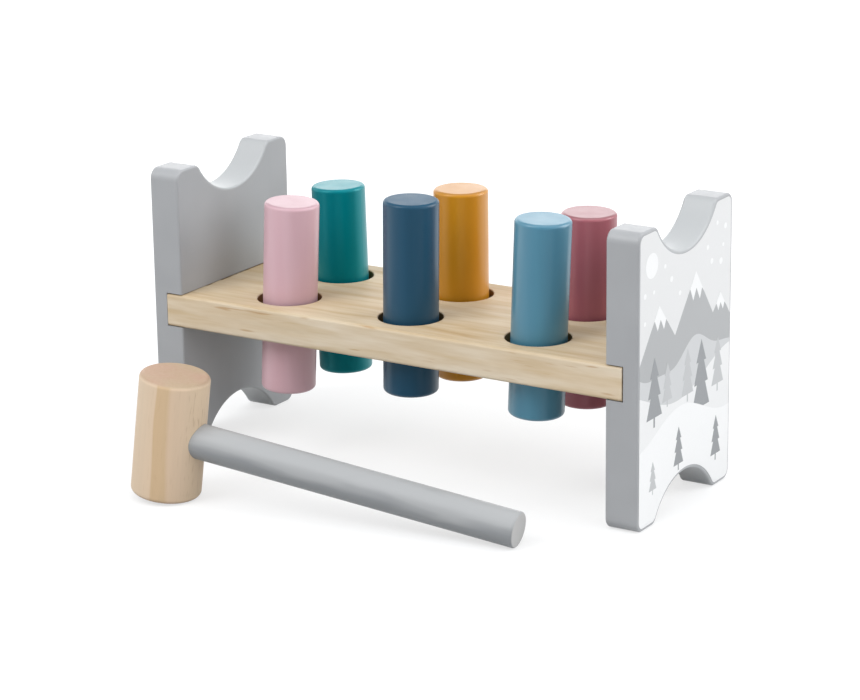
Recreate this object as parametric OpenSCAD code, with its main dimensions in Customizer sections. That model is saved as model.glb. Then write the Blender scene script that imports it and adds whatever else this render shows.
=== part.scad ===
// Peg pounding bench: six lacquered wooden pegs gripped in a plank between two notched end boards,
// with the wooden mallet that drives them. The bench works either way up: once the pegs are down,
// it is turned over and they are driven back.
// Millimetres, +Z up. The origin is on the table under the middle of the bench, and -Y is its front.

/* [Bench] */

// Length over the outer faces of the two end boards
bench_len = 252; // [230:1:280]
// Width of the plank and the end boards, front to back
bench_w = 88; // [83:0.5:110]
// Height of the end boards
bench_h = 132; // [124:1:150]

/* [End boards] */

// Thickness of an end board
board_t = 15.5; // [13:0.5:20]
// Radius of the four outer corners of an end board
corner_r = 5; // [3:0.5:6]
// Radius of the round notch between two feet, and between two horns
notch_r = 31.5; // [28:0.5:33]
// Depth of that notch, measured from the feet
notch_depth = 16; // [12:0.5:20]
// Radius that blends the notch into a foot
lip_r = 5; // [3:0.5:6]
// Rounding of the long edges between the faces and the outline
arris_r = 1; // [0.8:0.1:2]
// Depth of the housing that takes the plank's end
dado_depth = 8.5; // [6:0.5:10]

/* [Plank] */

// Thickness of the plank
plank_t = 15.5; // [13:0.5:18]
// Rounding of the plank's long edges
plank_edge_r = 1.5; // [1:0.1:3]
// Glue room below the plank, which rests on the lower side of its housings
glue_gap = 0.1; // [0.05:0.05:0.2]
// Room above the plank in its housings, seen as a thin dark line
top_gap = 0.25; // [0.1:0.05:0.4]
// Room between the plank's left end and the bottom of its housing
end_gap = 0.2; // [0.1:0.1:1]
// How much more room its right end has, because the plank is sawn a little short
short_sawn = 0.5; // [0:0.1:1]
// Distance between neighbouring columns of pegs
column_gap = 65.5; // [60:0.5:70]
// Room all round a peg in its hole
hole_gap = 2.2; // [1.5:0.1:2.5]
// Width of the chamfer on both rims of a hole
hole_chamfer = 0.4; // [0.2:0.1:1.2]

/* [Grip rings] */

// Diameter of the ring's round section
ring_sec = 4; // [3.6:0.1:4.6]
// Running clearance between a ring and the peg it grips, on the radius
ring_fit = 0.06; // [0.05:0.01:0.09]
// Clearance of the ring in its groove, on every side
groove_gap = 0.1; // [0.05:0.05:0.2]

/* [Pegs] */

// Diameter of a peg
peg_d = 25; // [23:0.5:27]
// Length of a peg
peg_len = 88.5; // [80:0.5:92]
// Rounding of a peg's two rims
peg_rim_r = 1.7; // [1:0.1:3]
// Pink peg, front left: how far it stands above the plank
pink_up = 45.5; // [35:0.5:58]
// Lean of the pink peg along the bench, in degrees
pink_lean = 3; // [-3:0.5:3]
// Navy peg, front middle: how far it stands above the plank
navy_up = 54; // [35:0.5:58]
// Lean of the navy peg
navy_lean = 1; // [-3:0.5:3]
// Sky-blue peg, front right: how far it stands above the plank
sky_up = 53.5; // [35:0.5:58]
// Lean of the sky-blue peg
sky_lean = 2.5; // [-3:0.5:3]
// Teal peg, back left: how far it stands above the plank
teal_up = 43.5; // [35:0.5:58]
// Lean of the teal peg
teal_lean = -1.5; // [-3:0.5:3]
// Amber peg, back middle: how far it stands above the plank
amber_up = 49.5; // [35:0.5:58]
// Lean of the amber peg
amber_lean = 0; // [-3:0.5:3]
// Rose peg, back right: how far it stands above the plank
rose_up = 46.5; // [35:0.5:58]
// Lean of the rose peg
rose_lean = 1; // [-3:0.5:3]

/* [Mallet] */

// Diameter of the mallet's head
head_d = 31.5; // [28:0.5:38]
// Length of the head from striking face to striking face
head_len = 56; // [50:1:64]
// Rounding of the head's two rims
head_rim_r = 2.3; // [1.5:0.1:3]
// Diameter of the handle
handle_d = 16; // [14:0.5:18]
// Length of the handle, with the end that is glued into the head
handle_len = 176.5; // [160:0.5:190]
// How deep the handle goes into the head
handle_in = 23.5; // [18:0.5:25]
// Rounding of the handle's two ends
handle_rim_r = 1; // [0.5:0.1:1.5]
// Glue room round the handle in the head's bore
bore_fit = 0.05; // [0.03:0.01:0.1]
// Air pocket left under the handle in the bore
bore_pocket = 1; // [0.5:0.1:1.5]
// Where the head's middle stands along the bench
mallet_x = -76.25; // [-90:0.25:-50]
// How far the head's middle stands in front of the bench
mallet_front = 57.5; // [50:0.5:90]
// Heading of the handle, turned from the bench's length towards the bench
mallet_turn = 6.8; // [0:0.1:10]

/* [Hidden] */

$fn = 96;

// Plank: it lies at half height, and its ends sit in the housings
mid_z = bench_h / 2;
plank_len = bench_len - 2 * (board_t - dado_depth) - 2 * end_gap - short_sawn;

// Notch: its centre lies beyond the feet. The lip's rod touches the notch and the foot, and stands
// a hair proud of both, so that it meets them at a small angle
lip_proud = 0.06;
notch_out = notch_r - notch_depth;
lip_y = sqrt(pow(notch_r + lip_r, 2) - pow(notch_out + lip_r, 2));
lip_turn = atan2(notch_out + lip_r, lip_y);

// Peg holes: the two rows lie on the plank's quarter lines. Grooves in them hold the grip rings
row_y = bench_w / 4;
hole_r = peg_d / 2 + hole_gap;
ring_mid_r = peg_d / 2 + ring_fit + ring_sec / 2;
groove_r = ring_mid_r + ring_sec / 2 + groove_gap;
groove_h = ring_sec + 2 * groove_gap;

// Mallet: it rests on the rim of its lower face and on the end of its handle, so its droop follows
reach = handle_len - (handle_in - head_d / 2);
rest_up = head_len / 2 - head_rim_r - handle_d / 2 + handle_rim_r;
rest_run = reach - handle_rim_r - head_d / 2 + head_rim_r;
rest_step = head_rim_r - handle_rim_r;
droop = atan2(rest_up, rest_run) + asin(rest_step / sqrt(pow(rest_up, 2) + pow(rest_run, 2)));
head_z = (head_len / 2 - head_rim_r) * cos(droop) + (head_d / 2 - head_rim_r) * sin(droop) + head_rim_r;

// Colours
grey_paint = [0.66, 0.67, 0.68];
pine = [0.87, 0.79, 0.66];
beech = [0.82, 0.70, 0.57];
black_rubber = [0.10, 0.10, 0.10];

// Every piece, in the order in which it is drawn

// The piece to draw

// A rectangle with rounded corners, about its middle
module round_rect(w, h, r) {
    union() {
        square([w - 2 * r, h], center = true);
        square([w, h - 2 * r], center = true);
        for (sx = [-1, 1], sy = [-1, 1])
            translate([sx * (w / 2 - r), sy * (h / 2 - r)])
                circle(r);
    }
}

// A turned rod about its middle, along Z, with both rims rounded
module turned_rod(r, h, rim) {
    rotate_extrude()
        intersection() {
            round_rect(2 * r, h, rim);
            translate([0, -h / 2])
                square([r, h]);
        }
}

// The board's outline before the notches are cut, lying flat, with its edges rounded
module board_blank() {
    union() {
        rotate([90, 0, 0])
            linear_extrude(bench_h - 2 * corner_r, center = true)
                round_rect(bench_w, board_t, arris_r);
        rotate([0, 90, 0])
            linear_extrude(bench_w - 2 * corner_r, center = true)
                round_rect(board_t, bench_h, arris_r);
        for (sx = [-1, 1], sy = [-1, 1])
            translate([sx * (bench_w / 2 - corner_r), sy * (bench_h / 2 - corner_r), 0])
                turned_rod(corner_r, board_t, arris_r);
    }
}

// The cutter of a notch: a spool whose flared ends leave the notch's edges rounded
module notch_spool() {
    rotate_extrude()
        difference() {
            translate([0, -board_t / 2])
                square([notch_r + arris_r, board_t]);
            for (s = [-1, 1])
                translate([notch_r + arris_r, s * (board_t / 2 - arris_r)])
                    circle(arris_r);
            translate([notch_r, -board_t / 2 + arris_r])
                square([2 * arris_r, board_t - 2 * arris_r]);
        }
}

// The cutter of a lip: the corner between notch and foot, without the rounded rod that stays
module lip_cutter() {
    difference() {
        linear_extrude(board_t, center = true)
            polygon([
                [0, 0],
                [0, lip_r + 1],
                [-lip_r, lip_r + 1],
                [-(lip_r + 1) * cos(lip_turn), (lip_r + 1) * sin(lip_turn)]
            ]);
        turned_rod(lip_r + lip_proud, board_t, arris_r);
    }
}

// An end board, lying flat about its middle
module board_flat() {
    difference() {
        difference() {
            board_blank();
            for (m = [0, 1])
                mirror([0, m, 0])
                    translate([0, bench_h / 2 + notch_out, 0])
                        notch_spool();
        }
        for (n = [0, 1], m = [0, 1])
            mirror([0, n, 0])
                mirror([m, 0, 0])
                    translate([lip_y, bench_h / 2 - lip_r, 0])
                        lip_cutter();
    }
}

// An end board standing in its place, housed on its inner face for the plank
module end_board(side) {
    color(grey_paint)
        translate([side * (bench_len - board_t) / 2, 0, mid_z])
            rotate([90, 0, 90])
                difference() {
                    board_flat();
                    translate([0, (top_gap - glue_gap) / 2, -side * board_t / 2])
                        cube([bench_w + 2, plank_t + glue_gap + top_gap, 2 * dado_depth], center = true);
                }
}

// The hole for one peg, with its two chamfered rims and the groove of its grip ring
module peg_hole() {
    cylinder(r = hole_r, h = plank_t + 2, center = true);
    cylinder(r = groove_r, h = groove_h, center = true);
    for (m = [0, 1])
        mirror([0, 0, m])
            translate([0, 0, plank_t / 2 - hole_chamfer])
                cylinder(r1 = hole_r, r2 = hole_r + 2 * hole_chamfer, h = 2 * hole_chamfer);
}

// Where a peg's column and row cross, at the plank's mid-plane
module at_hole(col, row) {
    translate([col * column_gap, row * row_y, mid_z])
        children();
}

// A grip ring in its groove
module grip_ring(col, row) {
    color(black_rubber)
        at_hole(col, row)
            rotate_extrude()
                translate([ring_mid_r, 0])
                    circle(d = ring_sec);
}

// A peg in its hole, leaning about the middle of its grip ring
module peg(col, row, up, lean, tint) {
    color(tint)
        at_hole(col, row)
            rotate([0, lean, 0])
                translate([0, 0, plank_t / 2 + up - peg_len / 2])
                    turned_rod(peg_d / 2, peg_len, peg_rim_r);
}

// The mallet's place on the table: its head along Z, its handle along X
module at_mallet() {
    translate([mallet_x, -bench_w / 2 - mallet_front, head_z])
        rotate([0, droop, mallet_turn])
            children();
}

module end_board_left() {
    end_board(-1);
}

module end_board_right() {
    end_board(1);
}

module peg_plank() {
    color(pine)
        difference() {
            translate([-short_sawn / 2, 0, mid_z])
                rotate([0, 90, 0])
                    linear_extrude(plank_len, center = true)
                        round_rect(plank_t, bench_w, plank_edge_r);
            for (col = [-1:1], row = [-1, 1])
                at_hole(col, row)
                    peg_hole();
        }
}

module ring_pink() {
    grip_ring(-1, -1);
}

module ring_navy() {
    grip_ring(0, -1);
}

module ring_sky() {
    grip_ring(1, -1);
}

module ring_teal() {
    grip_ring(-1, 1);
}

module ring_amber() {
    grip_ring(0, 1);
}

module ring_rose() {
    grip_ring(1, 1);
}

module peg_pink() {
    peg(-1, -1, pink_up, pink_lean, [0.80, 0.67, 0.70]);
}

module peg_navy() {
    peg(0, -1, navy_up, navy_lean, [0.18, 0.31, 0.40]);
}

module peg_sky() {
    peg(1, -1, sky_up, sky_lean, [0.36, 0.55, 0.64]);
}

module peg_teal() {
    peg(-1, 1, teal_up, teal_lean, [0.00, 0.42, 0.45]);
}

module peg_amber() {
    peg(0, 1, amber_up, amber_lean, [0.75, 0.53, 0.18]);
}

module peg_rose() {
    peg(1, 1, rose_up, rose_lean, [0.63, 0.35, 0.42]);
}

module mallet_head() {
    color(beech)
        at_mallet()
            difference() {
                turned_rod(head_d / 2, head_len, head_rim_r);
                translate([head_d / 2 - handle_in - bore_pocket, 0, 0])
                    rotate([0, 90, 0])
                        cylinder(r = handle_d / 2 + bore_fit, h = head_d);
            }
}

module mallet_handle() {
    color(grey_paint)
        at_mallet()
            translate([reach - handle_len / 2, 0, 0])
                rotate([0, 90, 0])
                    turned_rod(handle_d / 2, handle_len, handle_rim_r);
}

end_board_left();
end_board_right();
peg_plank();
ring_pink();
ring_navy();
ring_sky();
ring_teal();
ring_amber();
ring_rose();
peg_pink();
peg_navy();
peg_sky();
peg_teal();
peg_amber();
peg_rose();
mallet_head();
mallet_handle();
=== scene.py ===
# %% [markdown]
# # A peg pounding bench
# The toy is a pine plank between two grey end boards, with six coloured pegs gripped in the plank
# and a wooden mallet lying in front. The solids arrive from the CAD model at their true size, so
# this lesson is about looks: paint, bare wood, lacquer, a printed end face, light and camera.

# %% Load the solids
import math

import bmesh
import bpy
from mathutils import Matrix, Vector


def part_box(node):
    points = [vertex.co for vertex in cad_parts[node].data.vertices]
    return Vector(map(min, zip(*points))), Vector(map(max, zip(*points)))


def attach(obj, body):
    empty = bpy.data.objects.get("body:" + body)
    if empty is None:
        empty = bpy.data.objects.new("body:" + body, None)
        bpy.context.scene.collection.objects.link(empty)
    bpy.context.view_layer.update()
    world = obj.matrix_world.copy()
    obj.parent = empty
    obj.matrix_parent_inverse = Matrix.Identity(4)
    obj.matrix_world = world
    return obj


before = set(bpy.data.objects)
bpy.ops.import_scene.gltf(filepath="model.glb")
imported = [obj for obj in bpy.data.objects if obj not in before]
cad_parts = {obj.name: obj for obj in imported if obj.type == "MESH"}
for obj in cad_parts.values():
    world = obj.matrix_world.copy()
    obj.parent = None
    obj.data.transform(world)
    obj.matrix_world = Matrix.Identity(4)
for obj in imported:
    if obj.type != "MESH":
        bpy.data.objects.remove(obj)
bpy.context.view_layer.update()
scene = bpy.context.scene
MM = 0.001

# %% [markdown]
# ## The camera
# A product photograph is taken from far away with a long lens, so that upright edges stay nearly
# parallel. The eye's place and its three turns are given as plain numbers. The rotation is built
# from them by hand, because a camera in Blender looks along its own -Z axis.

# %% Camera
EYE = Vector((0.67445, -1.08775, 0.43812))
AZIMUTH, ELEVATION, ROLL = (math.radians(a) for a in (31.948, 16.772, 0.792))
FOCAL_PX, PICTURE_W = 2940.7, 860

back = Vector((math.sin(AZIMUTH) * math.cos(ELEVATION),
               -math.cos(AZIMUTH) * math.cos(ELEVATION), math.sin(ELEVATION)))
right = (-back).cross(Vector((0, 0, 1))).normalized()
down = (-back).cross(right)
right_rolled = math.cos(ROLL) * right + math.sin(ROLL) * down
down_rolled = math.cos(ROLL) * down - math.sin(ROLL) * right

lens = bpy.data.cameras.new("studio_camera")
lens.sensor_width = 36.0
lens.lens = FOCAL_PX / PICTURE_W * lens.sensor_width
lens.clip_start, lens.clip_end = 0.05, 20.0
camera = bpy.data.objects.new("studio_camera", lens)
scene.collection.objects.link(camera)
camera.matrix_world = Matrix.Translation(EYE) @ Matrix(
    (right_rolled, -down_rolled, back)).transposed().to_4x4()
scene.camera = camera
print("lens", round(lens.lens, 1), "mm")

# %% [markdown]
# ## The studio
# The real light is a tent of white cloth: strong from above, and from both sides a little behind
# and before the toy, so that round pegs are brighter at their two sides than in the middle. Large
# area lamps give that, and a pale world fills the shadows. What is seen past the toy, by the
# camera or in a reflection, is plain white.

# %% World
FILL, FILL_TONE, WHITE = 0.39, (0.97, 0.985, 1.0, 1), (1, 1, 1, 1)


def seen_straight(tree):
    """1 for a ray from the camera or in a reflection or refraction, and 0 for one that lights."""
    path = tree.nodes.new("ShaderNodeLightPath")
    value = path.outputs["Is Camera Ray"]
    for other in ("Is Glossy Ray", "Is Transmission Ray"):
        either = tree.nodes.new("ShaderNodeMath")
        either.operation = "MAXIMUM"
        tree.links.new(value, either.inputs[0])
        tree.links.new(path.outputs[other], either.inputs[1])
        value = either.outputs[0]
    return value


scene.view_settings.view_transform = "Standard"
world = bpy.data.worlds.new("white_tent")
scene.world = world
world.use_nodes = True
w_tree = world.node_tree
w_tree.nodes.clear()
w_fill = w_tree.nodes.new("ShaderNodeBackground")
w_fill.inputs["Color"].default_value = FILL_TONE
w_fill.inputs["Strength"].default_value = FILL
w_seen = w_tree.nodes.new("ShaderNodeBackground")
w_seen.inputs["Color"].default_value = WHITE
w_mix = w_tree.nodes.new("ShaderNodeMixShader")
w_out = w_tree.nodes.new("ShaderNodeOutputWorld")
w_tree.links.new(seen_straight(w_tree), w_mix.inputs["Fac"])
w_tree.links.new(w_fill.outputs[0], w_mix.inputs[1])
w_tree.links.new(w_seen.outputs[0], w_mix.inputs[2])
w_tree.links.new(w_mix.outputs[0], w_out.inputs["Surface"])
print("world fill", FILL)

# %% Lamps
TOY = Vector((0, -0.02, 0.07))
LAMPS = {  # the place and size in metres, and the power in watts
    "roof": ((0.38, -0.2, 2.1), (2.4, 2.4), 27),
    "right_wall": ((1.7, 1.3, 1.1), (1.4, 1.4), 31),
    "right_front": ((2.25, -0.6, 0.8), (1.2, 1.2), 9),
    "left_wall": ((-0.92, -1.68, 1.87), (1.4, 1.4), 38),
    "rear_wall": ((-1.3, 2.1, 0.75), (2.4, 1.2), 14),
}


def softbox(name, place, size, power):
    """A rectangular lamp that shines from place at the toy, unseen by the camera itself."""
    lamp = bpy.data.lights.new(name, "AREA")
    lamp.shape = "RECTANGLE"
    lamp.size, lamp.size_y = size
    lamp.energy = power
    holder = bpy.data.objects.new(name, lamp)
    scene.collection.objects.link(holder)
    holder.location = place
    holder.rotation_euler = (TOY - Vector(place)).to_track_quat("-Z", "Y").to_euler()
    holder.visible_camera = False


for lamp_name, facts in LAMPS.items():
    softbox(lamp_name, *facts)
print("lamps:", len(LAMPS))

# %% [markdown]
# ## The floor
# The toy stands on a sheet of white paper, which throws a good half of the light back up under the
# pegs and the handle. As it is seen it has a second, deeper tone and gives off some light of its
# own, more with distance, so that it runs out into the white tent, and close to the toy it keeps
# the soft shadow. That glow lights nothing, so it throws no false light on the pegs.

# %% Floor sheet
FLOOR_HALF, FLOOR_Z = 5.0, -0.1 * MM
floor_mesh = bpy.data.meshes.new("floor")
floor_mesh.from_pydata([(x * FLOOR_HALF, y * FLOOR_HALF, FLOOR_Z)
                        for x, y in ((-1, -1), (1, -1), (1, 1), (-1, 1))], [], [(0, 1, 2, 3)])
floor = bpy.data.objects.new("floor", floor_mesh)
scene.collection.objects.link(floor)
print("floor", 2 * FLOOR_HALF, "m wide")

# %% Floor paper
PAPER_LIGHTING, PAPER_SEEN = (0.56, 0.56, 0.56, 1), (0.34, 0.345, 0.35, 1)
GLOW = {"From Min": 0.15, "From Max": 0.75, "To Min": 0.66, "To Max": 0.90}

paper = bpy.data.materials.new("pale_sheet")
paper.use_nodes = True
p_tree = paper.node_tree
p_shader = p_tree.nodes["Principled BSDF"]
p_shader.inputs["Roughness"].default_value = 0.9
p_shader.inputs["Specular IOR Level"].default_value = 0.0
p_shader.inputs["Emission Color"].default_value = WHITE
p_tone = p_tree.nodes.new("ShaderNodeMix")
p_tone.data_type = "RGBA"
p_tone.inputs["A"].default_value = PAPER_LIGHTING
p_tone.inputs["B"].default_value = PAPER_SEEN
p_tree.links.new(seen_straight(p_tree), p_tone.inputs["Factor"])
p_tree.links.new(p_tone.outputs["Result"], p_shader.inputs["Base Color"])

p_place = p_tree.nodes.new("ShaderNodeNewGeometry")
p_far = p_tree.nodes.new("ShaderNodeVectorMath")
p_far.operation = "LENGTH"
p_glow = p_tree.nodes.new("ShaderNodeMapRange")
for socket, value in GLOW.items():
    p_glow.inputs[socket].default_value = value
p_seen = p_tree.nodes.new("ShaderNodeMath")
p_seen.operation = "MULTIPLY"
p_tree.links.new(p_place.outputs["Position"], p_far.inputs[0])
p_tree.links.new(p_far.outputs["Value"], p_glow.inputs["Value"])
p_tree.links.new(p_glow.outputs["Result"], p_seen.inputs[0])
p_tree.links.new(seen_straight(p_tree), p_seen.inputs[1])
p_tree.links.new(p_seen.outputs[0], p_shader.inputs["Emission Strength"])
floor_mesh.materials.append(paper)
print("glow from", GLOW["To Min"], "to", GLOW["To Max"])


# %% [markdown]
# ## Finishes
# Every finish starts from the same shader and is built from patterns of noise. The patterns live in
# the piece's own coordinates, so a finish stays put when the piece moves. Wood has a direction, so
# the coordinates are measured in grain lengths: a noise with a grain of 100, 2 and 2 mm is a bundle
# of fibres along X. Short helpers make the nodes, so that each finish below reads as a recipe.

# %% Colours and the shader
def rgb(code):
    """A colour written as a hex code, as the linear values that a shader takes."""
    parts = [int(code[i:i + 2], 16) / 255 for i in (0, 2, 4)]
    return tuple(p / 12.92 if p <= 0.04045 else ((p + 0.055) / 1.055) ** 2.4
                 for p in parts) + (1,)


def grey(level):
    return (level, level, level, 1)


def new_finish(name, roughness, gloss):
    mat = bpy.data.materials.new(name)
    mat.use_nodes = True
    shader = mat.node_tree.nodes["Principled BSDF"]
    shader.inputs["Roughness"].default_value = roughness
    shader.inputs["Specular IOR Level"].default_value = gloss
    return mat, mat.node_tree, shader


def wear(node, mat):
    """Gives a CAD node its finish."""
    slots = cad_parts[node].data.materials
    slots.clear()
    slots.append(mat)


print("a hex grey of 808080 is", round(rgb("808080")[0], 3), "in linear light")


# %% Patterns
def piece_space(tree, grain=(1, 1, 1), place=(0, 0, 0), turn=(0, 0, 0)):
    """The piece's coordinates from a place and a turn, in grain lengths given in metres."""
    coords = tree.nodes.new("ShaderNodeTexCoord")
    moved = tree.nodes.new("ShaderNodeMapping")
    moved.vector_type = "TEXTURE"
    moved.inputs["Location"].default_value = place
    moved.inputs["Rotation"].default_value = turn
    moved.inputs["Scale"].default_value = grain
    tree.links.new(coords.outputs["Object"], moved.inputs["Vector"])
    return moved.outputs["Vector"]


def noise(tree, grain, detail, rough=0.5, place=(0, 0, 0), turn=(0, 0, 0)):
    n = tree.nodes.new("ShaderNodeTexNoise")
    n.inputs["Scale"].default_value = 1.0
    n.inputs["Detail"].default_value = detail
    n.inputs["Roughness"].default_value = rough
    tree.links.new(piece_space(tree, grain, place, turn), n.inputs["Vector"])
    return n.outputs["Fac"]


def ramp(tree, value, *stops):
    """Stops are (place, colour); a colour may be a hex code, or one number for a plain grey."""
    r = tree.nodes.new("ShaderNodeValToRGB")
    marks = r.color_ramp.elements
    while len(marks) < len(stops):
        marks.new(0.5)
    for mark, (place, colour) in zip(marks, stops):
        mark.position = place
        mark.color = rgb(colour) if isinstance(colour, str) else grey(colour)
    tree.links.new(value, r.inputs["Fac"])
    return r.outputs["Color"]


def blend(tree, mode, amount, under, over):
    """Lays one colour over another. The amount is a number, or a mask."""
    m = tree.nodes.new("ShaderNodeMix")
    m.data_type = "RGBA"
    m.blend_type = mode
    for name, source in (("Factor", amount), ("A", under), ("B", over)):
        if isinstance(source, (int, float, tuple)):
            m.inputs[name].default_value = source
        else:
            tree.links.new(source, m.inputs[name])
    return m.outputs["Result"]


print("helpers for patterns: piece_space, noise, ramp, blend")


# %% Sums and masks
def arithmetic(tree, operation, *values):
    m = tree.nodes.new("ShaderNodeMath")
    m.operation = operation
    for socket, value in zip(m.inputs, values):
        if isinstance(value, (int, float)):
            socket.default_value = value
        else:
            tree.links.new(value, socket)
    return m.outputs[0]


def axes(tree, vector):
    """The X, Y and Z of a vector, each as a value of its own."""
    split = tree.nodes.new("ShaderNodeSeparateXYZ")
    tree.links.new(vector, split.inputs[0])
    return split.outputs


def distance(tree, a, b):
    """How far a point lies from an axis, from its two distances across it."""
    squares = [arithmetic(tree, "POWER", side, 2.0) for side in (a, b)]
    return arithmetic(tree, "SQRT", arithmetic(tree, "ADD", *squares))


def facing(tree, axis, low, high, turn=(0, 0, 0)):
    """1 where the surface faces along the turned axis, either way, and 0 where it lies along it."""
    coords = tree.nodes.new("ShaderNodeTexCoord")
    turned = tree.nodes.new("ShaderNodeMapping")
    turned.vector_type = "TEXTURE"
    turned.inputs["Rotation"].default_value = turn
    tree.links.new(coords.outputs["Normal"], turned.inputs["Vector"])
    straight = arithmetic(tree, "ABSOLUTE", axes(tree, turned.outputs["Vector"])[axis])
    return ramp(tree, straight, (low, 0.0), (high, 1.0))


print("helpers for masks: arithmetic, axes, distance, facing")


# %% Feeding the shader
def colour_from(tree, shader, source):
    tree.links.new(source, shader.inputs["Base Color"])


def roughness_from(tree, shader, pattern, low, high):
    """Spreads the roughness between two levels by a noise, which mostly lies from 0.3 to 0.7."""
    tree.links.new(ramp(tree, pattern, (0.3, low), (0.7, high)), shader.inputs["Roughness"])


def bump_from(tree, shader, height, depth, strength):
    """Lets a pattern tilt the surface. A second bump goes over the first."""
    b = tree.nodes.new("ShaderNodeBump")
    b.inputs["Strength"].default_value = strength
    b.inputs["Distance"].default_value = depth
    tree.links.new(height, b.inputs["Height"])
    for earlier in shader.inputs["Normal"].links:
        tree.links.new(earlier.from_socket, b.inputs["Normal"])
    tree.links.new(b.outputs["Normal"], shader.inputs["Normal"])


print("helpers for the shader: colour_from, roughness_from, bump_from")

# %% [markdown]
# ## Grey paint
# The boards and the handle carry one coat of satin grey over wood. Paint that is brushed or sprayed
# on wood is never quite even: it shows a slow cloudiness, and the fibres under it leave faint
# lengthwise waves. Both come from noise, the second one long along the grain. The handle is painted
# paler above than below, in a line that wavers: painted light from above and painted shade below.
# The round notches and the handle's end are painted paler still, as painted light. A mask finds the
# notches by their distance from the notch's centre.

# %% A coat of grey paint
HEAD_MIDDLE = (-76.25 * MM, -101.5 * MM, 29.5 * MM)
MALLET_TURN = (0, math.radians(7.39), math.radians(6.8))


def grey_paint(name, gloss, tones, coat_and_light_mask, painted_light_mask, fibre_grain, turn=(0, 0, 0)):
    """Paint over wood in a thin and a thick coat, on the handle painted shade and light, and a tone
    of painted light.
    """
    mat, tree, shader = new_finish(name, 0.42, gloss)
    thin, thick, lit_tone = tones
    coat = ramp(tree, coat_and_light_mask(tree), (0.3, thin), (0.7, thick))
    colour_from(tree, shader, blend(tree, "MIX", painted_light_mask(tree), coat, rgb(lit_tone)))
    fibres = noise(tree, fibre_grain, 4.0, 0.6, HEAD_MIDDLE, turn)
    roughness_from(tree, shader, fibres, 0.38, 0.46)
    bump_from(tree, shader, fibres, 0.04 * MM, 0.35)
    return mat, tree, shader


print("mallet head at", [round(c, 4) for c in HEAD_MIDDLE])

# %% Paint on the boards
BENCH_H, NOTCH_R, NOTCH_DEPTH = 132.0, 31.5, 16.0
NOTCH_OUT = NOTCH_R - NOTCH_DEPTH


def cloudy(tree):
    return noise(tree, (0.035, 0.035, 0.035), 2.0, place=HEAD_MIDDLE)


# Painted light: the notch walls are painted paler than the rest of the board.
def notch_painted_light(tree):
    """1 on a notch's round wall, half a diameter from its centre, and 0 past the rounded edge."""
    point = axes(tree, piece_space(tree, place=(0, 0, BENCH_H / 2 * MM)))
    rise = arithmetic(tree, "SUBTRACT", (BENCH_H / 2 + NOTCH_OUT) * MM,
                      arithmetic(tree, "ABSOLUTE", point["Z"]))
    in_diameters = arithmetic(tree, "DIVIDE", distance(tree, point["Y"], rise), 2 * NOTCH_R * MM)
    return ramp(tree, in_diameters, (0.502, 1.0), (0.525, 0.0))


# On the boards the first two tones are an uneven coat; the third is painted light on the notch
# walls.
board_paint = grey_paint("board_grey_paint", 0.38, ("9C9EA1", "A3A5A8", "AFB2B4"), cloudy,
                         notch_painted_light, (0.0038, 0.0038, 0.070))[0]
for side in ("left", "right"):
    wear(f"end_board_{side}", board_paint)
print("notches", 2 * NOTCH_R, "mm across, paler than the boards")

# %% Paint on the handle
HANDLE_R = 8.0 * MM
# How the handle's painted light from above wavers, how it fades, and where its line lies.
WAVER, TOP_LIGHT_FADE, TOP_LIGHT_LINE = 1.8, 0.4, 0.2


def painted_light_from_above(tree):
    """Painted light from above: paler towards the top of the dowel, the line between a little above
    the middle.
    """
    up = axes(tree, piece_space(tree, (HANDLE_R,) * 3, HEAD_MIDDLE, MALLET_TURN))["Z"]
    sway = noise(tree, (0.050, 0.009, 0.009), 2.0, place=HEAD_MIDDLE, turn=MALLET_TURN)
    line = arithmetic(tree, "MULTIPLY_ADD", sway, WAVER,
                      0.5 - 0.5 * WAVER - TOP_LIGHT_FADE * TOP_LIGHT_LINE)
    return arithmetic(tree, "MULTIPLY_ADD", up, TOP_LIGHT_FADE, line)


# Painted light: the handle's cut end is painted paler.
def end_painted_light(tree):
    return facing(tree, "X", 0.70, 0.95, MALLET_TURN)


# On the handle the thin tone is painted shade below, the thick tone painted light above, and the
# third tone painted light on the cut end.
handle_paint, handle_tree, handle_shader = grey_paint(
    "handle_grey_paint", 0.22, ("8E9194", "A6A8AA", "B0B0B0"), painted_light_from_above, end_painted_light,
    (0.060, 0.0055, 0.0055), MALLET_TURN)
slow_waves = noise(handle_tree, (0.038, 0.010, 0.010), 1.0, place=HEAD_MIDDLE, turn=MALLET_TURN)
bump_from(handle_tree, handle_shader, slow_waves, 0.8 * MM, 0.6)
wear("mallet_handle", handle_paint)
# The handle's paler top is painted light from above.
print("handle", 2 * HANDLE_R, "m thick, sprayed from above")

# %% [markdown]
# ## Bare pine
# The plank is sawn pine, sanded and left bare. Its growth rings lie round the heart of the tree,
# far below the plank, so on top they open into broad pale bands and on the front edge they close up
# into lines. Fine fibres run lengthwise, with a few short brown flecks of resin. The top is painted
# a shade darker than the edges, as painted shade. The walls of the drilled holes are painted brown,
# as painted shade, so a mask finds the points that lie within a hole's radius of its axis.

# %% Pine rings
PLANK_LOW, PLANK_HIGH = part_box("peg_plank")
HEART = (0.0, 0.018, PLANK_LOW.z - 0.105)
RINGS = {"Scale": 38.0, "Distortion": 9.0, "Detail": 2.5,
         "Detail Scale": 0.9, "Detail Roughness": 0.55}


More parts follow.
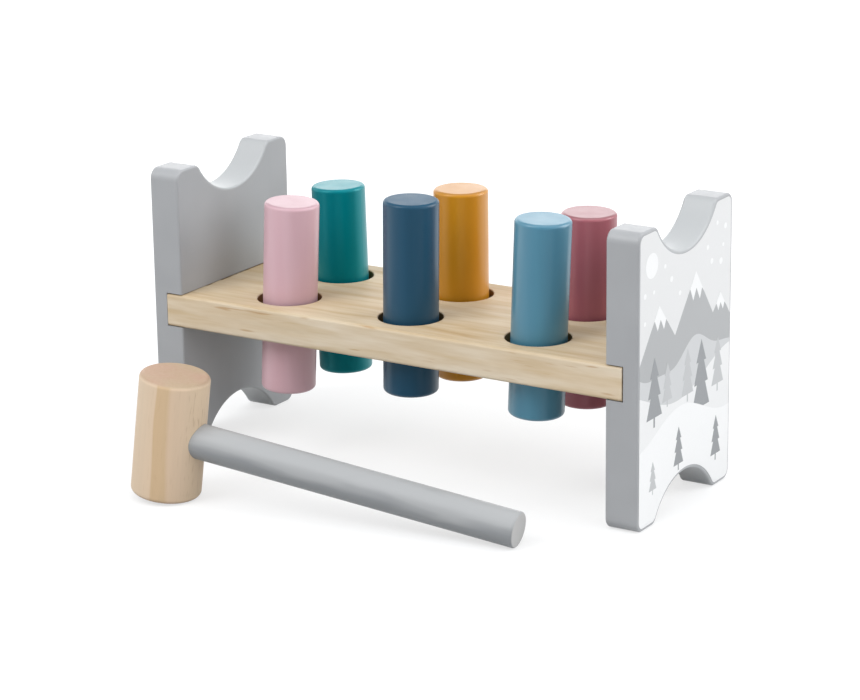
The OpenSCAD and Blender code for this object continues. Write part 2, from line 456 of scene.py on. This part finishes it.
def pine_rings(tree):
    """Growth rings round an axis along X, pale, with a darker thin line that comes and goes."""
    rings = tree.nodes.new("ShaderNodeTexWave")
    rings.wave_type, rings.rings_direction, rings.wave_profile = "RINGS", "X", "SAW"
    for name, level in RINGS.items():
        rings.inputs[name].default_value = level
    tree.links.new(piece_space(tree, (3.4, 1, 1), HEART), rings.inputs["Vector"])
    lines = ramp(tree, rings.outputs["Fac"], (0.0, "DDD3C2"), (0.35, "E0D7C7"),
                 (0.72, "DACFBB"), (0.93, "D1C2A8"), (1.0, "DDD3C2"))
    come_and_go = ramp(tree, noise(tree, (0.070, 0.009, 0.009), 2.0), (0.44, 0.1), (0.62, 1.0))
    return blend(tree, "MIX", come_and_go, rgb("DED4C3"), lines)


print("heart of the tree", round(HEART[2], 3), "m up")


# %% Pine fibres and flecks
def pine_colour(tree):
    """The colour of the wood, and its fibres for the roughness and the bump."""
    fibre = noise(tree, (0.140, 0.0022, 0.0022), 5.0, 0.6)
    cloud = noise(tree, (0.160, 0.030, 0.030), 2.0)
    smudge = noise(tree, (0.042, 0.0045, 0.0045), 3.0, 0.6)
    fleck = noise(tree, (0.020, 0.0016, 0.0016), 1.0, 0.4)
    # Painted shade: the top faces are made a little darker than the edges.
    painted_top_shade = facing(tree, "Z", 0.0, 1.0)
    wood = blend(tree, "MULTIPLY", 0.4, pine_rings(tree),
                 ramp(tree, fibre, (0.25, 0.86), (0.7, 1.0)))
    for mask, low_tone, high_tone in ((cloud, "F4EADC", "FFFDFA"), (smudge, "FFFFFF", "ECE2D0"),
                                      (painted_top_shade, "FFFFFF", "EFEAE0")):
        wood = blend(tree, "MULTIPLY", 0.9, wood,
                     ramp(tree, mask, (0.35, low_tone), (0.68, high_tone)))
    resin = ramp(tree, fleck, (0.71, 0.0), (0.79, 0.5))
    return blend(tree, "MIX", resin, wood, rgb("A77B48")), fibre


print("plank", round(PLANK_HIGH.x - PLANK_LOW.x, 4), "m long")

# %% Pine hole walls
COLUMN_GAP, ROW_Y, HOLE_R, HOLE_EDGE = 65.5 * MM, 22.0 * MM, 14.7 * MM, 0.1 * MM


# Painted shade: the hole walls take a dark brown.
def hole_painted_shade(tree):
    """1 on the walls of the six holes and 0 elsewhere: columns repeat along X, rows mirror in Y."""
    point = axes(tree, piece_space(tree))
    off_x = arithmetic(tree, "WRAP", point["X"], COLUMN_GAP / 2, -COLUMN_GAP / 2)
    off_y = arithmetic(tree, "SUBTRACT", arithmetic(tree, "ABSOLUTE", point["Y"]), ROW_Y)
    return arithmetic(tree, "LESS_THAN", distance(tree, off_x, off_y), HOLE_R + HOLE_EDGE)


print("holes", round(2 * HOLE_R / MM, 1), "mm wide")

# %% Pine finish with its glue lines
BOARD_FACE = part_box("end_board_right")[0].x
GLUE_W, GLUE_H = 0.7 * MM, 0.3 * MM


def glue_lines(tree):
    """A broken brown line on the plank's top, where it goes into the two boards."""
    point = axes(tree, piece_space(tree))
    at_end = arithmetic(tree, "GREATER_THAN", arithmetic(tree, "ABSOLUTE", point["X"]),
                        BOARD_FACE - GLUE_W)
    on_top = arithmetic(tree, "GREATER_THAN", point["Z"], PLANK_HIGH.z - GLUE_H)
    gaps = ramp(tree, noise(tree, (0.02, 0.008, 0.02), 3.0), (0.42, 0.1), (0.54, 0.85))
    return arithmetic(tree, "MULTIPLY", arithmetic(tree, "MULTIPLY", at_end, on_top), gaps)


def bare_pine(name):
    mat, tree, shader = new_finish(name, 0.55, 0.3)
    wood, fibre = pine_colour(tree)
    wood = blend(tree, "MIX", glue_lines(tree), wood, rgb("6B5238"))
    # The hole walls are painted dark brown, as painted shade.
    colour_from(tree, shader, blend(tree, "MIX", hole_painted_shade(tree), wood, rgb("86683F")))
    roughness_from(tree, shader, fibre, 0.48, 0.62)
    bump_from(tree, shader, fibre, 0.1 * MM, 0.45)
    return mat


wear("peg_plank", bare_pine("bare_pine"))
print("pine on the plank, glue lines", round(GLUE_W / MM, 1), "mm wide")

# %% [markdown]
# ## Lacquered pegs
# The pegs are dipped in coloured lacquer: a smooth skin in which the white tent shows as soft
# upright streaks, more so where a peg's side turns away. The dowel's grain still shows faintly, so
# the colour and the bump shift a little along its length. Cut ends drink in more lacquer, and most
# are painted deeper in colour, partly for that and partly as painted shade on tops lit from above.
# The coat that stands on them mirrors the bright wall behind. The teal is the clearest lacquer: its
# gloss takes on some of its colour.

# %% Peg lacquer
LACQUERS = {  # light and deep tone, gloss in front and at the sides, tone and gloss of the ends
    "pink": ("D1AFB8", "CCA7B0", (0.12, 0.38), 0.74, 0.31),
    "navy": ("254D66", "21485F", (0.11, 0.46), 1.00, 0.05),
    "sky": ("4D849B", "477C94", (0.26, 0.90), 0.92, 0.45),
    "teal": ("007781", "006F79", (0.20, 0.85), 1.05, 0.25, (0.3, 1, 1)),
    "amber": ("C78A20", "C0811A", (0.20, 0.75), 0.69, 0.48),
    "rose": ("A7616B", "A05A64", (0.30, 0.50), 0.62, 0.80),
}


def lacquer(name, light, deep, shine, end_tone_and_shade, end_shine, tint=(1, 1, 1)):
    mat, tree, shader = new_finish(name, 0.32, shine[0])
    shader.inputs["Specular Tint"].default_value = tint + (1,)
    grain = noise(tree, (0.007, 0.007, 0.110), 3.0)
    ends = facing(tree, "Z", 0.55, 0.88)
    coat = ramp(tree, grain, (0.25, deep), (0.75, light))
    # The ends' tone is partly lacquer soaked into the end grain and partly painted shade on the
    # tops.
    colour_from(tree, shader, blend(tree, "MULTIPLY", ends, coat, grey(end_tone_and_shade)))
    turned_away = tree.nodes.new("ShaderNodeLayerWeight").outputs["Facing"]
    side_gloss = ramp(tree, turned_away, (0.05, shine[0]), (0.45, shine[1]))
    tree.links.new(blend(tree, "MIX", ends, side_gloss, grey(end_shine)),
                   shader.inputs["Specular IOR Level"])
    roughness_from(tree, shader, noise(tree, (0.011, 0.011, 0.011), 2.0), 0.28, 0.36)
    bump_from(tree, shader, grain, 0.04 * MM, 0.2)
    return mat


for hue, recipe in LACQUERS.items():
    wear(f"peg_{hue}", lacquer(f"{hue}_lacquer_coat", *recipe))
print("lacquer on", len(LACQUERS), "pegs")

# %% [markdown]
# ## Grip rings
# The rings inside the holes are matt black rubber, seen only as a dark edge round a peg. Rubber
# that comes out of a mould has a fine tooth, so the grey and the bump vary in grains of about a
# millimetre.

# %% Rubber
rubber, rubber_tree, rubber_shader = new_finish("grip_rubber", 0.75, 0.3)
tooth = noise(rubber_tree, (0.0011, 0.0011, 0.0011), 2.0)
colour_from(rubber_tree, rubber_shader, ramp(rubber_tree, tooth, (0.3, "151515"), (0.7, "202020")))
bump_from(rubber_tree, rubber_shader, tooth, 0.05 * MM, 0.5)
for hue in LACQUERS:
    wear(f"ring_{hue}", rubber)
print("rubber on", len(LACQUERS), "rings")

# %% [markdown]
# ## Beech head
# The head is turned from bare beech. The tree's growth layers run through it like sheets, so its
# side shows broad soft bands from straw to a pinkish tan, with short brown flecks where the surface
# lies along a layer. Its two ends show cut-off fibres, which drink in more light and look darker
# and pinker. The head leans with the mallet, so the pattern's space takes the mallet's place and
# turn, and the ends are found from the surface's own direction.

# %% Beech layers
HEAD_D, SAWN_AT, SWAY = 31.5 * MM, math.radians(25), 0.28
SAWN_TURN = (Matrix.Rotation(MALLET_TURN[2], 3, "Z") @ Matrix.Rotation(MALLET_TURN[1], 3, "Y")
             @ Matrix.Rotation(SAWN_AT, 3, "Z")).to_euler()
LAYERS = ((0.10, "D5C0A7"), (0.28, "D6BFA5"), (0.31, "CCB08D"), (0.48, "CFB491"),
          (0.54, "DAC1A6"), (0.74, "DEC6AB"), (0.84, "DEC7AB"))


def beech_layers(tree, sway):
    """How far across the head a point lies, from 0 to 1, in layers that sway lengthwise."""
    point = axes(tree, piece_space(tree, (HEAD_D,) * 3, HEAD_MIDDLE, SAWN_TURN))
    swayed = arithmetic(tree, "MULTIPLY_ADD", sway, SWAY, 0.5 - SWAY / 2)
    return arithmetic(tree, "ADD", point["X"], swayed)


print("tones across the head:", len(LAYERS))


# %% Beech side, ends and finish
def bare_beech(name):
    mat, tree, shader = new_finish(name, 0.55, 0.3)

    def pattern(grain, detail, rough=0.5):
        return noise(tree, grain, detail, rough, HEAD_MIDDLE, MALLET_TURN)

    across = beech_layers(tree, pattern((0.020, 0.020, 0.085), 2.0))
    fibre = pattern((0.0019, 0.0019, 0.090), 4.0, 0.6)
    side = blend(tree, "MULTIPLY", 0.3, ramp(tree, across, *LAYERS),
                 ramp(tree, fibre, (0.25, 0.86), (0.7, 1.0)))
    fleck = ramp(tree, pattern((0.0008, 0.0008, 0.007), 1.0), (0.62, 0.0), (0.74, 0.4))
    flat_sawn = ramp(tree, across, (0.72, 0.2), (0.86, 1.0))
    flecked = arithmetic(tree, "MULTIPLY", fleck, flat_sawn)
    side = blend(tree, "MIX", flecked, side, rgb("A5835C"))

    pores = ramp(tree, pattern((0.0012, 0.0012, 0.02), 3.0), (0.3, "B19882"), (0.7, "B49C87"))
    blush = ramp(tree, pattern((0.016, 0.016, 0.06), 1.0), (0.35, "FFF8F9"), (0.65, "FBFFF9"))
    ends = blend(tree, "MULTIPLY", 1.0, pores, blush)
    end_mask = facing(tree, "Z", 0.35, 0.80, MALLET_TURN)
    colour_from(tree, shader, blend(tree, "MIX", end_mask, side, ends))
    roughness_from(tree, shader, fibre, 0.48, 0.62)
    bump_from(tree, shader, fibre, 0.1 * MM, 0.4)
    return mat


wear("mallet_head", bare_beech("bare_beech"))
print("beech on the head")

# %% [markdown]
# ## The printed end face
# The right board's outer face is printed in white and greys, over all of its flat part. The print
# could take its edge from the board's mesh, but that edge is already rounded over. So the outline
# is rebuilt from the board's own sizes, drawn in to where the rounded edge begins.

# %% Outline of the printed face
BENCH_W, CORNER_R, LIP_R, DRAWN_IN = 88.0, 5.0, 5.0, 1.5
LIP_Y = math.sqrt((NOTCH_R + LIP_R) ** 2 - (NOTCH_OUT + LIP_R) ** 2)
EDGE_Y = BENCH_W / 2 - DRAWN_IN
FACE_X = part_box("end_board_right")[1].x
STEPS = 220


def arc(r, d):
    return math.sqrt(max(r * r - d * d, 0.0))


def face_top(y):
    """Height of the printed face's upper outline at y, in millimetres."""
    y = abs(y)
    if y < LIP_Y * (NOTCH_R + DRAWN_IN) / (NOTCH_R + LIP_R):
        return BENCH_H + NOTCH_OUT - arc(NOTCH_R + DRAWN_IN, y)
    if y < LIP_Y:
        return BENCH_H - LIP_R + arc(LIP_R - DRAWN_IN, LIP_Y - y)
    if y < BENCH_W / 2 - CORNER_R:
        return BENCH_H - DRAWN_IN
    return BENCH_H - CORNER_R + arc(CORNER_R - DRAWN_IN, y - BENCH_W / 2 + CORNER_R)


columns = [EDGE_Y * math.sin(math.pi / 2 * (2 * i / STEPS - 1)) for i in range(STEPS + 1)]
print("printed face", round(2 * EDGE_Y, 1), "mm wide, x =", round(FACE_X, 4))

# %% [markdown]
# ## Ink
# Printing ink lies on the paint as a very thin film. Its shapes could be masks in the paint, but
# then each would need sums of its own. A flat piece is easier to draw and to change: an outline is
# filled, thickened by some hundredths of a millimetre and set to ride the bench. A colour that is
# printed later lies in a higher layer. A hill reaches from the face's lower outline up to a line.

# %% Inks
SPECK_TONE = 0.985


def ink(name, code):
    """Printing ink, with specks that are a little deeper."""
    mat, tree, shader = new_finish(name, 0.5, 0.35)
    speck = noise(tree, (0.0014, 0.0014, 0.0014), 2.0)
    specked = ramp(tree, speck, (0.35, SPECK_TONE), (0.65, 1.0))
    colour_from(tree, shader, blend(tree, "MULTIPLY", 1.0, rgb(code), specked))
    roughness_from(tree, shader, speck, 0.44, 0.56)
    return mat


INK = {name: ink(f"ink_{name}", code) for name, code in (
    ("sky", "D7D8D9"), ("rock", "A6A8AA"), ("far", "C2C4C6"), ("mid", "DEDFE0"),
    ("snow", "E6E7E8"), ("fir", "8E9194"), ("young_fir", "B6B8BA"))}
print("inks:", len(INK))

# %% Ink films
FILM = 0.02 * MM
SKY, ROCK, FAR, MID, FAR_FIRS, NEAR, NEAR_FIRS = range(1, 8)


def film(name, outline, layer, tone):
    """A closed sheet of ink: the outline is (y, z) in millimetres, a higher layer lies on top."""
    mesh = bmesh.new()
    ring = [mesh.verts.new((FACE_X - FILM / 2, y * MM, z * MM)) for y, z in outline]
    out = bmesh.ops.extrude_face_region(mesh, geom=[mesh.faces.new(ring)])
    for v in (g for g in out["geom"] if isinstance(g, bmesh.types.BMVert)):
        v.co.x = FACE_X + layer * FILM
    bmesh.ops.recalc_face_normals(mesh, faces=mesh.faces)
    data = bpy.data.meshes.new(name)
    mesh.to_mesh(data)
    mesh.free()
    data.materials.append(INK[tone])
    piece = bpy.data.objects.new(name, data)
    scene.collection.objects.link(piece)
    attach(piece, "bench")


def hill(name, line, layer, tone, corners=()):
    """A film from the face's lower outline up to line(y), cut off by the upper outline."""
    across = sorted(set(columns) | set(corners))
    low = [(y, BENCH_H - face_top(y)) for y in across]
    high = [(y, min(line(y), face_top(y))) for y in across]
    film(name, low + high[::-1], layer, tone)


hill("print_sky", lambda y: BENCH_H, SKY, "sky")
print("layers of ink:", NEAR_FIRS, "of", FILM / MM, "mm")

# %% [markdown]
# ## The winter scene
# The print is a plain winter scene: mountains, rolling hills, fir trees, a moon and snow. It is
# built from back to front, as it would be printed. It could be traced by hand, point by point, but
# formulas keep the edges clean: a slope is a straight line, a hill is a sum of sine waves, and a
# fir is half an outline, mirrored. A tree or a hill then moves by changing one number.

# %% Mountains
PEAKS = [((-52, 62), (-25, 97), (2, 66)),
         ((-20, 68), (9, 104), (40, 62)),
         ((12, 66), (33, 89), (56, 60))]
CAP_DROPS = (9.5, 11.0, 7.0)
JAGS = ((0.0, 1.0), (0.2, 0.62), (0.38, 1.15), (0.55, 0.68), (0.75, 1.2), (0.87, 0.78), (1.0, 1.0))


def slope(a, b, y):
    return a[1] + (b[1] - a[1]) * (y - a[0]) / (b[0] - a[0])


def mountains(y):
    return max(slope(foot, top, y) if y <= top[0] else slope(top, end, y)
               for foot, top, end in PEAKS)


def snow_cap(name, foot, top, end, drop):
    """White from a peak down its two slopes, with a jagged lower edge."""
    first = top[0] - drop * (top[0] - foot[0]) / (top[1] - foot[1])
    last = top[0] + drop * (end[0] - top[0]) / (top[1] - end[1])
    edge = [(first + along * (last - first), top[1] - deep * drop) for along, deep in JAGS]
    film(name, edge + [top], FAR, "snow")


hill("print_mountains", mountains, ROCK, "rock", [top[0] for _, top, _ in PEAKS])
for i, (peak, drop) in enumerate(zip(PEAKS, CAP_DROPS)):
    snow_cap(f"print_cap_{i}", *peak, drop)
print("peaks:", len(PEAKS))


# %% Hills
def rolling(level, *waves):
    """A line at a level, with waves of a height, a length and a shift."""
    return lambda y: level + sum(tall * math.sin(y / long + shift) for tall, long, shift in waves)


hill("print_far_hills", rolling(69, (5, 11, 0.6), (1.5, 5.2, 0.0)), FAR, "far")
hill("print_mid_hills", rolling(57, (7, 17, -1.1)), MID, "mid")
hill("print_near_snow", rolling(41, (6, 14, 1.9)), NEAR, "snow")
print("hills printed")

# %% Fir trees
HALF_FIR = ((-0.05, 0.0), (-0.05, 0.14), (-0.5, 0.14), (-0.24, 0.44), (-0.40, 0.44),
            (-0.16, 0.72), (-0.28, 0.72))
FIR_WIDTH = 0.46
FIRS = [(-29, 44, 31, FAR_FIRS, "fir"), (-17, 50, 20, FAR_FIRS, "young_fir"),
        (2, 47, 24, FAR_FIRS, "young_fir"), (15, 36, 36, FAR_FIRS, "fir"),
        (31, 44, 25, FAR_FIRS, "young_fir"), (-6, 18, 20, NEAR_FIRS, "fir"),
        (-30, 14, 15, NEAR_FIRS, "young_fir"), (30, 12, 21, NEAR_FIRS, "fir")]


def fir(name, y, z, tall, layer, tone):
    """Three stacked skirts on a short trunk."""
    wide = tall * FIR_WIDTH
    outline = [(y + u * wide, z + v * tall) for u, v in HALF_FIR]
    outline += [(y, z + tall)]
    outline += [(y - u * wide, z + v * tall) for u, v in HALF_FIR[::-1]]
    film(name, outline, layer, tone)


for i, facts in enumerate(FIRS):
    fir(f"print_fir_{i}", *facts)
print("firs:", len(FIRS))

# %% Moon and snowflakes
MOON, MOON_SIDES, FLAKE_SIDES = (-32, 116, 5.5), 64, 24
FLAKES = [(-38, 104, 1.2), (-14, 106, 1.3), (-6, 98, 1.1), (-38, 92, 1.0),
          (24, 105, 1.3), (33, 103, 1.5), (37, 118, 1.3), (29, 121, 1.0),
          (35, 110, 0.9), (-20, 113, 1.0), (20, 112, 1.1), (-30, 104, 0.9)]


def disc(name, y, z, r, sides):
    turns = [2 * math.pi * i / sides for i in range(sides)]
    film(name, [(y + r * math.cos(t), z + r * math.sin(t)) for t in turns], ROCK, "snow")


disc("print_moon", *MOON, MOON_SIDES)
for i, flake in enumerate(FLAKES):
    disc(f"print_flake_{i}", *flake, FLAKE_SIDES)
print("flakes:", len(FLAKES))

# %% [markdown]
# ## The end
# The finished scene is as large as the CAD model, apart from the thickness of the ink.

# %% End
print("scene finished")
